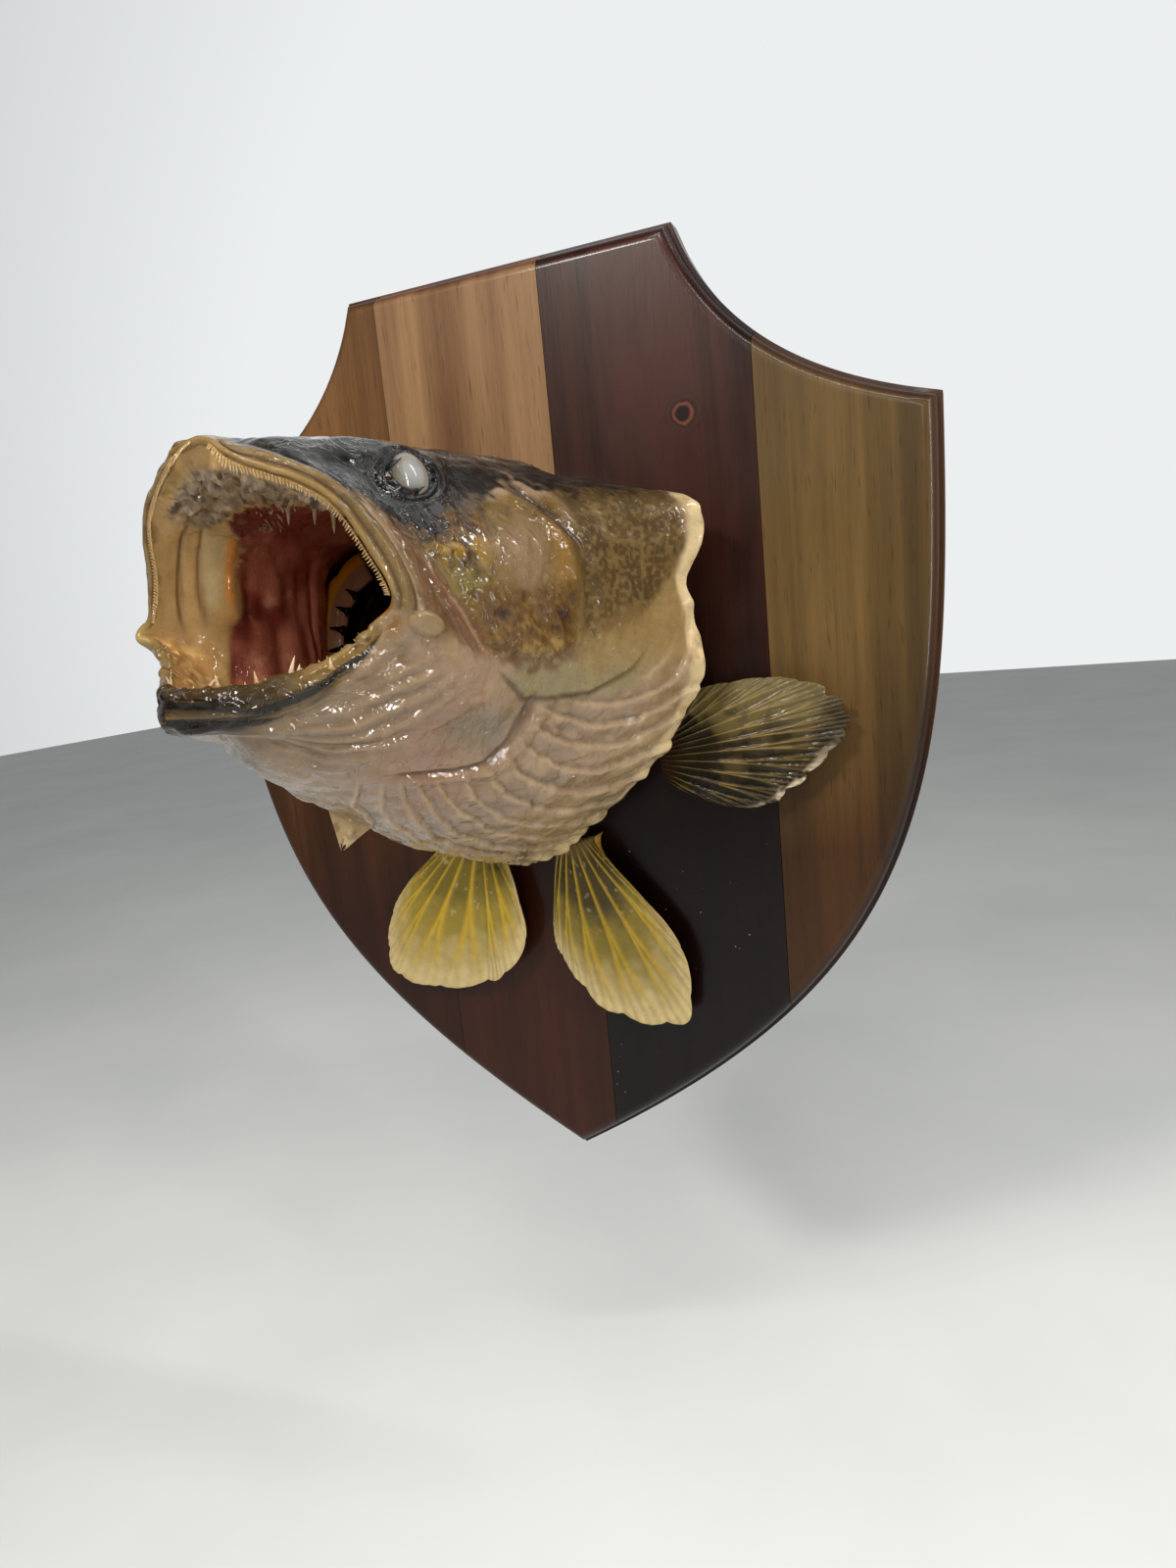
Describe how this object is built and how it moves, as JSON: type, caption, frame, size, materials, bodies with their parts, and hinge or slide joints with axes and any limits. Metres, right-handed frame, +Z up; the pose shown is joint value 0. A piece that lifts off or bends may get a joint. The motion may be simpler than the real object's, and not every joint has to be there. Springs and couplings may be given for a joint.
{
  "type": "mounted pike-perch head on a shield plaque",
  "caption": "Taxidermy trophy head of a large pike-perch with gaping mouth and spread gill covers, with dried fins, on a wooden shield plaque.",
  "frame": {"origin": "centre of the plaque's flat back face, on the wall plane", "axes": "+Y into the wall (the fish looks out along -Y), +Z up, +X to the right of a person who faces the plaque (the fish's left side)"},
  "size_m": [0.444, 0.2769, 0.514],
  "materials": {
    "plaque_strip_1": "satin lacquered hardwood",
    "plaque_strip_2": "satin lacquered hardwood",
    "plaque_strip_3": "satin lacquered hardwood",
    "plaque_strip_4": "satin lacquered hardwood",
    "skull": "dried fish skin, dark blue-black, varnished",
    "palate": "dried maroon palate skin with ivory teeth",
    "neck_block": "dark stained wood core",
    "tongue": "dried skin, pinkish",
    "mouth_floor": "dark red dried skin",
    "eye": "cloudy white eye, glossy",
    "premaxilla": "tan olive lip bone with ivory teeth",
    "maxilla": "tan olive lip bone",
    "lower_jaw": "black varnished skin with ivory teeth",
    "cheek": "golden varnished skin",
    "preopercle": "golden brown varnished bone edge",
    "opercle": "mottled olive gill cover, satin varnish",
    "subopercle": "cream and olive gill cover, varnished",
    "throat": "cream pink varnished skin",
    "gill_membrane": "cream pink ribbed membrane, glossy",
    "interopercle": "tan varnished skin",
    "mouth_wall": "maroon dried skin",
    "gill_arch": "yellow orange dried gill arch with rakers",
    "membrane_flap": "pale dried skin",
    "pectoral_fin": "yellow rays with dark webs, glossy",
    "pelvic_fin": "yellow rays with olive webs and a cream margin, glossy"
  },
  "bodies": {
    "root": {"plaque_strip_1": "plaque_strip_1", "plaque_strip_2": "plaque_strip_2", "plaque_strip_3": "plaque_strip_3", "plaque_strip_4": "plaque_strip_4", "skull": "skull", "palate": "palate", "neck_block": "neck_block", "tongue": "tongue", "mouth_floor": "mouth_floor", "eye_left": "eye", "premaxilla_left": "premaxilla", "maxilla_left": "maxilla", "lower_jaw_left": "lower_jaw", "cheek_left": "cheek", "preopercle_left": "preopercle", "opercle_left": "opercle", "subopercle_left": "subopercle", "throat_left": "throat", "gill_membrane_left": "gill_membrane", "interopercle_left": "interopercle", "mouth_wall_left": "mouth_wall", "gill_arch_left_1": "gill_arch", "gill_arch_left_2": "gill_arch", "eye_right": "eye", "premaxilla_right": "premaxilla", "maxilla_right": "maxilla", "lower_jaw_right": "lower_jaw", "cheek_right": "cheek", "preopercle_right": "preopercle", "opercle_right": "opercle", "subopercle_right": "subopercle", "throat_right": "throat", "gill_membrane_right": "gill_membrane", "interopercle_right": "interopercle", "mouth_wall_right": "mouth_wall", "gill_arch_right_1": "gill_arch", "gill_arch_right_2": "gill_arch", "membrane_flap_right": "membrane_flap", "pectoral_fin_left": "pectoral_fin", "pectoral_fin_right": "pectoral_fin", "pelvic_fin_right": "pelvic_fin", "pelvic_fin_left": "pelvic_fin"}
  },
  "joints": []
}
